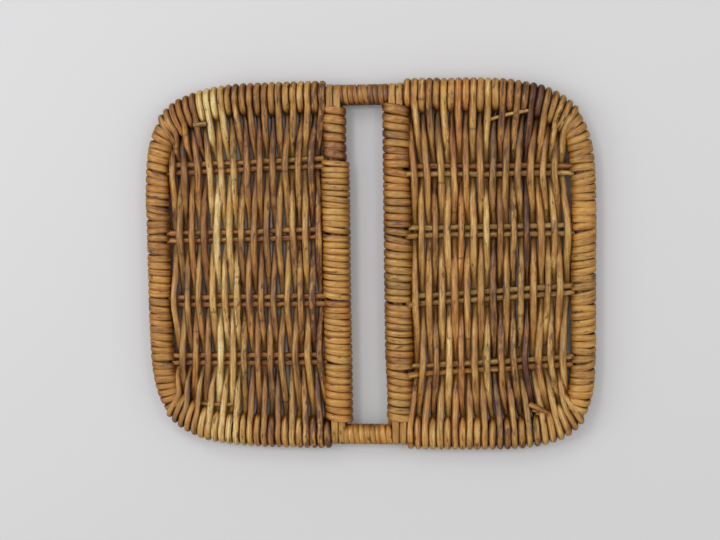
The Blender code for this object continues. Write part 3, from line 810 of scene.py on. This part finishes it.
# %% [markdown]
# The bars and the sides are wound with peeled cane. Each winding is one unbroken strip, so its path is a
# helix. It is given turn by turn, because the real turns differ: each has its pitch, the radius that it
# reaches, and its look, and leans a little its own way, which leaves the dark wedges between them. Where a
# pair of stakes comes in, the turns part on that side. The strip is half round with a slightly flat top, so
# its section is squeezed, and its flat side faces the rod.

# %% Windings
TURN_POINTS = 20
TURN_WIDTH_SPREAD = (0.95, 1.04)
PARTING = 1.4 * MM
PARTING_REACH = 4 * MM


def parting(distance, stakes):
    """How far the turns have moved away from the stakes that come in at these distances."""
    total = 0
    for stake in stakes:
        share = (distance - stake) / PARTING_REACH
        total += PARTING * share * math.exp(0.5 - 0.5 * share * share)
    return total


def helix(axis_point, outward_at, length, turns, strip, lean_mm, seed, hand=1, panel=0, stakes=()):
    """A strip wound along an axis, left or right handed. All its turns are stretched to fill the length.

    The panel lies on the first direction's side where it is 1, and on the other where it is -1.
    """
    draws = np.random.default_rng(seed)
    stretch = length / sum(turn[0] for turn in turns)
    leans = lean_mm * MM * draws.standard_normal(len(turns) + 1)
    path = []
    distance = 0
    for number, (pitch, outer, *look) in enumerate(turns):
        fitted = pitch * stretch
        half_width = fitted / 2 * draws.uniform(*TURN_WIDTH_SPREAD)
        for step in range(TURN_POINTS):
            share = step / TURN_POINTS
            angle = 2 * math.pi * share
            lean = (1 - share) * leans[number] + share * leans[number + 1]
            at = distance + share * fitted
            at += parting(at, stakes) * (1 + panel * hand * math.cos(angle)) / 2 + lean * math.cos(angle)
            right, up = outward_at(at)
            outward = hand * math.cos(angle) * right + math.sin(angle) * up
            point = axis_point(at) + (outer - strip["Flatness"] * half_width) * outward
            path.append((point, half_width, *look, tuple(outward)))
        distance += fitted
    return path


# %% [markdown]
# The turns of a bar come in runs of one stretch of cane each, listed from the back: how many turns, their
# pitch and outer radius in millimetres, and their tone and hue. The left bar starts with six wider,
# darker turns that lie closer to the rod. The right bar's cane changes colour every few turns.

# %% The windings of the stiles
STILE_STRIP = {"Facets": 16, "Flatness": 0.7, "Squareness": 2.6, "Flat strip": True}
STILE_RUNS = {
    "left": (
        (1, 7.6, 9.3, 0.36, 0.9), (1, 7.6, 9.3, 0.44, 0.6), (1, 7.4, 9.2, 0.52, 0.3),
        (2, 7.6, 9.1, 0.36, 0.9), (1, 7.4, 9.3, 0.33, 1.0), (8, 5.1, 11.2, 0.58, 0.45),
        (4, 5.5, 11.2, 0.6, 0.5), (1, 6.2, 11.2, 0.6, 0.5), (9, 5.6, 11.1, 0.56, 0.65),
        (2, 5.3, 10.7, 0.5, 0.9), (7, 5.3, 11.1, 0.6, 0.6), (1, 6.6, 11.2, 0.7, 0.5),
        (3, 6.0, 11.2, 0.58, 0.6), (5, 6.6, 11.2, 0.52, 0.95),
    ),
    "right": (
        (1, 8.6, 11.2, 0.3, 0.9), (2, 6.8, 11.05, 0.47, 0.65), (1, 6.6, 11.05, 0.38, 0.4),
        (1, 6.4, 11.05, 0.5, 0.5), (2, 5.9, 11.05, 0.4, 1.0), (1, 6.4, 11.2, 0.42, 1.0),
        (3, 6.2, 11.1, 0.4, 1.0), (3, 6.4, 11.1, 0.46, 0.35), (1, 6.2, 11.1, 0.4, 0.9),
        (1, 6.4, 11.2, 0.34, 0.95), (1, 6.2, 11.1, 0.4, 0.6), (1, 6.2, 11.1, 0.44, 0.4),
        (1, 7.2, 11.2, 0.5, 0.6), (2, 6.4, 11.2, 0.52, 0.4), (1, 6.6, 11.2, 0.55, 0.1),
        (2, 6.4, 11.2, 0.46, 0), (1, 5.8, 11.2, 0.5, 0), (1, 6.2, 11.2, 0.56, 0.3),
        (6, 5.8, 11.2, 0.48, 0.45), (1, 5.8, 11.2, 0.4, 0.4), (2, 5.6, 11.15, 0.45, 0.6),
        (2, 6.2, 10.75, 0.51, 0.5), (2, 6.2, 10.35, 0.45, 0.6), (1, 6.2, 10.15, 0.63, 0.5),
        (2, 6.4, 10.15, 0.5, 0.1), (1, 7.0, 10.35, 0.5, 0.7),
    ),
}
STILE_LOOK_SPREAD = 0.03
STILE_LEAN_MM = 0.3
WRAP_END_GAP = 0.6 * MM
WINDING_SEEDS = {"left": 21, "right": 22, "back": 23, "front": 24}


def stile_turns(side):
    draws = np.random.default_rng(WINDING_SEEDS[side])
    turns = []
    for count, pitch, outer, tone, hue in STILE_RUNS[side]:
        for _ in range(count):
            varied = tone + STILE_LOOK_SPREAD * draws.standard_normal()
            turns.append((pitch * MM, outer * MM, varied, hue, 0))
    return turns


for side, sign in SIDES.items():
    start = STILE_WRAP_END - WRAP_END_GAP
    path = helix(
        lambda distance: np.array([sign * STILE_OFFSET, start - distance, MID_HEIGHT]),
        lambda distance: (np.array([1.0, 0, 0]), np.array(UP)),
        2 * start,
        stile_turns(side),
        STILE_STRIP,
        STILE_LEAN_MM,
        WINDING_SEEDS[side],
        hand=-1,
        panel=sign,
        stakes=[start - pair_y(side, pair, STILE_OFFSET) for pair in PAIRS_FROM_BACK],
    )
    make_piece(
        f"{side}_stile_winding", [path], cane_wound, [f"{side}_stile_wrap"], STILE_STRIP,
        wander_mm=0.12, ring_mm=1.6,
    )


# %% [markdown]
# The winding of a side follows the curved frame rod, and its ends run in under the last weavers at the
# corners. Its strip is flatter, and its turns are less even. Turns next to each other often match, because
# they were one stretch of cane, so the look is drawn once for every few turns.

# %% The windings of the sides
GROUP_TURNS = (2, 3, 1, 4, 2, 5, 3)
PITCH_SPREAD = (0.9, 1.12)
HUE_SPREAD_RATIO = 3
MOST_BARK = 0.1


def drawn_turns(count, pitch_mm, outer, tone, hue, spread, seed):
    """Turns whose look is drawn in short runs that match."""
    draws = np.random.default_rng(seed)
    turns = []
    run = 0
    while len(turns) < count:
        shared_tone = tone + spread * draws.standard_normal()
        shared_hue = min(max(hue + HUE_SPREAD_RATIO * spread * draws.standard_normal(), 0), 1)
        for _ in range(GROUP_TURNS[run % len(GROUP_TURNS)]):
            pitch = pitch_mm * MM * draws.uniform(*PITCH_SPREAD)
            varied = shared_tone + spread / 2 * draws.standard_normal()
            turns.append((pitch, outer, varied, shared_hue, draws.uniform(0, MOST_BARK)))
        run += 1
    return turns[:count]


SIDE_PITCH_MM = 5.6
SIDE_STRIP = {**STILE_STRIP, "Facets": 14, "Flatness": 0.5, "Squareness": 3.0}
SIDE_LOOKS = {"left": (0.46, 0.7, 0.05), "right": (0.54, 0.55, 0.05)}
SIDE_OUTER = SIDE_WRAP_RADIUS - 0.2 * MM
SIDE_LEAN_MM = 0.6
SIDE_OVERRUN = {"left": 6 * MM, "right": 4.5 * MM}
SIDE_SAMPLES = 400

for side, sign in SIDES.items():
    back, front = [
        end * (CORNER_Y_SHARES[side, end] * HALF_DEPTH + SIDE_OVERRUN[side]) for end in ENDS.values()
    ]
    points = np.array(
        [
            (sign * frame_x(y, corner_squareness(sign, y)), y, MID_HEIGHT)
            for y in np.linspace(back, front, SIDE_SAMPLES)
        ]
    )
    lengths = np.concatenate([[0], np.cumsum(np.linalg.norm(np.diff(points, axis=0), axis=1))])

    def side_point(distance):
        return np.array([np.interp(distance, lengths, points[:, axis]) for axis in range(3)])

    def side_normal(distance):
        point = side_point(distance)
        return frame_normal(point, corner_squareness(point[0], point[1]))

    count = round(lengths[-1] / (SIDE_PITCH_MM * MM))
    path = helix(
        side_point,
        lambda distance: (side_normal(distance), np.array(UP)),
        lengths[-1],
        drawn_turns(count, SIDE_PITCH_MM, SIDE_OUTER, *SIDE_LOOKS[side], WINDING_SEEDS[side]),
        SIDE_STRIP,
        SIDE_LEAN_MM,
        WINDING_SEEDS[side],
        panel=-1,
        stakes=[
            np.interp(-pair_y(side, pair, HALF_LENGTH), -points[:, 1], lengths) for pair in PAIRS_FROM_BACK
        ],
    )
    make_piece(
        f"{side}_side_winding", [path], cane_split, [f"{side}_side_wrap"], SIDE_STRIP,
        wander_mm=0.25, ring_mm=1.6,
    )

# %% [markdown]
# Across each end of the slot the frame rod is bare of weavers. There a narrow flat strip of cane is wound
# over it.

# %% The windings of the bridges
FLAT_CANE = {**SIDE_STRIP, "Facets": 12, "Flatness": 0.3}
BRIDGE_PITCH_MM = {"back": 3.7, "front": 4.4}
BRIDGE_LOOKS = {"back": (0.26, 0.6, 0.12), "front": (0.52, 0.95, 0.06)}
BRIDGE_OUTER = ROD_RADIUS + 1.4 * MM
BRIDGE_OVERRUN = 2 * MM
BRIDGE_LEAN_MM = 0.25

for end, sign in ENDS.items():
    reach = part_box(f"{end}_bridge_wrap")[1][0] + BRIDGE_OVERRUN
    count = round(2 * reach / (BRIDGE_PITCH_MM[end] * MM))
    path = helix(
        lambda distance: np.array([distance - reach, sign * HALF_DEPTH, MID_HEIGHT]),
        lambda distance: (np.array([0, 1.0, 0]), np.array(UP)),
        2 * reach,
        drawn_turns(count, BRIDGE_PITCH_MM[end], BRIDGE_OUTER, *BRIDGE_LOOKS[end], WINDING_SEEDS[end]),
        FLAT_CANE,
        BRIDGE_LEAN_MM,
        WINDING_SEEDS[end],
    )
    make_piece(
        f"{end}_bridge_winding", [path], cane_split, [f"{end}_bridge_wrap"], FLAT_CANE,
        wander_mm=0.2,
    )

# %% [markdown]
# Two flat straps of split cane tie each end of a stile to the frame rod. A strap goes over the rod like a
# hairpin, and both its ends disappear under the stile's winding.

# %% The straps
STRAP_HALF_WIDTH = 2.6 * MM
STRAP_RADIUS = ROD_RADIUS + 0.1 * MM + STRAP_HALF_WIDTH * FLAT_CANE["Flatness"]
STRAP_BEND_POINTS = 13
STRAP_TAIL = (ROD_RADIUS + 6 * MM, 2 * MM)
STRAP_TAIL_POINTS = 5
STRAP_TONE = 0.56
STRAP_TONE_SPREAD = 0.06
STRAP_HUE_AND_BARK = (0.4, 0.1)


def strap_path(x, end, look):
    """Along the top to the rod, round it, and back underneath."""
    tail = np.linspace(*STRAP_TAIL, STRAP_TAIL_POINTS)
    stops = [(-reach, STRAP_RADIUS, 0, 1) for reach in tail]
    for angle in np.linspace(QUARTER_TURN, -QUARTER_TURN, STRAP_BEND_POINTS):
        cosine, sine = math.cos(angle), math.sin(angle)
        stops.append((STRAP_RADIUS * cosine, STRAP_RADIUS * sine, cosine, sine))
    stops += [(-reach, -STRAP_RADIUS, 0, -1) for reach in tail[::-1]]
    path = []
    for out, rise, facing_out, facing_up in stops:
        point = (x, end * (HALF_DEPTH + out), MID_HEIGHT + rise)
        path.append((point, STRAP_HALF_WIDTH, *look, (0, end * facing_out, facing_up)))
    return path


strap_rng = np.random.default_rng(5)
for side in SIDES:
    for end, sign in ENDS.items():
        for place in ("inner", "outer"):
            name = f"{side}_{end}_strap_{place}"
            low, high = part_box(name)
            tone = STRAP_TONE + STRAP_TONE_SPREAD * strap_rng.standard_normal()
            make_piece(
                f"{name}_cane", [strap_path((low[0] + high[0]) / 2, sign, (tone, *STRAP_HUE_AND_BARK))],
                cane_split, [name], FLAT_CANE, wander_mm=0.15,
            )

# %% [markdown]
# The lid lies on a plain pale floor, which is the light wall of the photograph. The camera sees it pale.
# The light that it throws back into the weaving is that of a mid grey, because the real wall stands further
# off than a floor that the lid lies on.

# %% The floor
FLOOR_HALF = 3.0
FLOOR_SEEN = "#dddddf"
FLOOR_IN_THE_WEAVING = "#8f8c8a"
FLOOR_ROUGHNESS = 0.9
floor_mesh = bpy.data.meshes.new("floor")
corners = [(x * FLOOR_HALF, y * FLOOR_HALF, 0) for x, y in ((-1, -1), (1, -1), (1, 1), (-1, 1))]
floor_mesh.from_pydata(corners, [], [(0, 1, 2, 3)])
floor = new_object("floor", floor_mesh)
paint = bpy.data.materials.new("wall_paint_matt")
paint.use_nodes = True
paint_shader = paint.node_tree.nodes["Principled BSDF"]
paint_shader.inputs["Roughness"].default_value = FLOOR_ROUGHNESS
light_path = add(paint.node_tree, "ShaderNodeLightPath")
seen = add(
    paint.node_tree, "ShaderNodeMix", COLOURS, n0=light_path.outputs["Is Camera Ray"],
    n6=linear(FLOOR_IN_THE_WEAVING), n7=linear(FLOOR_SEEN),
)
paint.node_tree.links.new(seen.outputs[2], paint_shader.inputs["Base Color"])
floor_mesh.materials.append(paint)

# %% [markdown]
# Most of the light is a pale world all round. One soft lamp above the photograph's top edge, in front of
# the lid, gives the shadow under each rod. Two on either side of the camera give the row of glints down
# each winding, and stand far enough apart to leave the gaps between the rods dark. Two far out at the sides
# throw the faint shadows beside the lid and in the slot.

# %% Lights and world
LAMPS = {
    "key_lamp": {"place": (-0.45, 1.1, 1.25), "size": 0.5, "watts": 3.5},
    "front_left_lamp": {"place": (-0.52, 0.35, 1.25), "size": 0.25, "watts": 1.8},
    "front_right_lamp": {"place": (0.66, 0.3, 1.25), "size": 0.25, "watts": 1.4},
    "far_left_lamp": {"place": (-1.1, 0.1, 0.95), "size": 0.7, "watts": 3.6},
    "far_right_lamp": {"place": (1.1, 0.1, 0.95), "size": 0.7, "watts": 2},
}
ROOM_COLOUR = "#f7f6f5"
ROOM_STRENGTH = 0.6

for name, lamp in LAMPS.items():
    light = bpy.data.lights.new(name, "AREA")
    light.energy = lamp["watts"]
    light.shape = "SQUARE"
    light.size = lamp["size"]
    holder = new_object(name, light)
    holder.location = lamp["place"]
    holder.rotation_euler = Vector(lamp["place"]).to_track_quat("Z", "Y").to_euler()
world = bpy.data.worlds.new("pale_room")
world.use_nodes = True
background = world.node_tree.nodes["Background"]
background.inputs["Color"].default_value = linear(ROOM_COLOUR)
background.inputs["Strength"].default_value = ROOM_STRENGTH
bpy.context.scene.world = world
bpy.context.scene.view_settings.view_transform = "Standard"

# %% [markdown]
# The photograph is taken nearly square on, from a little to the right and a little above the middle,
# through a long lens. The same view of the lid lying down is from above.

# %% The camera
CAMERA_YAW = math.radians(6.5)
CAMERA_PITCH = math.radians(4.9)
CAMERA_ROLL = math.radians(-0.85)
CAMERA_DISTANCE = 0.95
CAMERA_TARGET = Vector((-0.0072, -0.0038, 0))
SENSOR_WIDTH = 36
PHOTO_WIDTH = 720
FOCAL_PIXELS = 1199

direction = Vector(
    (
        math.sin(CAMERA_YAW) * math.cos(CAMERA_PITCH),
        math.sin(CAMERA_PITCH),
        math.cos(CAMERA_YAW) * math.cos(CAMERA_PITCH),
    )
)
right = Vector((0, 1, 0)).cross(direction).normalized()
up = direction.cross(right)
rolled_right = math.cos(CAMERA_ROLL) * right + math.sin(CAMERA_ROLL) * up
rolled_up = direction.cross(rolled_right)
camera_data = bpy.data.cameras.new("camera")
camera_data.sensor_width = SENSOR_WIDTH
camera_data.lens = SENSOR_WIDTH * FOCAL_PIXELS / PHOTO_WIDTH
camera = new_object("camera", camera_data)
place = CAMERA_TARGET + CAMERA_DISTANCE * direction
columns = [(*rolled_right, 0), (*rolled_up, 0), (*direction, 0), (*place, 1)]
camera.matrix_world = Matrix(columns).transposed()
bpy.context.scene.camera = camera
print("The camera stands at", [round(v, 3) for v in place])
